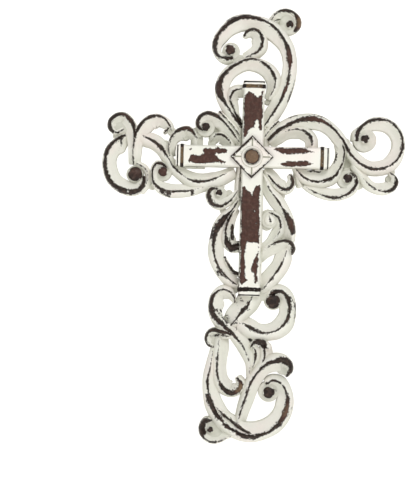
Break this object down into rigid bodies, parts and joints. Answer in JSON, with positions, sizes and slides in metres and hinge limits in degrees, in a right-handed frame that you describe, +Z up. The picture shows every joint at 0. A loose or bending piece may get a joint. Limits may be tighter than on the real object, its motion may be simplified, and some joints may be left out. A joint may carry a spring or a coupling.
{
  "type": "ornate wall cross",
  "caption": "Latin cross wall ornament: a plain bevelled cross with a diamond boss, wrapped in openwork acanthus scrolls in worn ivory paint.",
  "frame": {"origin": "on the flat back, straight behind the middle of the diamond where the bars cross", "axes": "+X to the right seen from the front, +Y out of the flat back towards the wall, +Z up along the long bar; the carved front faces -Y"},
  "size_m": [0.2105, 0.0195, 0.3052],
  "materials": {
    "worn_paint": "satin ivory paint worn through to dark brown on the ridges and on the bars"
  },
  "bodies": {
    "root": {"scroll_cross": "worn_paint"}
  },
  "joints": []
}
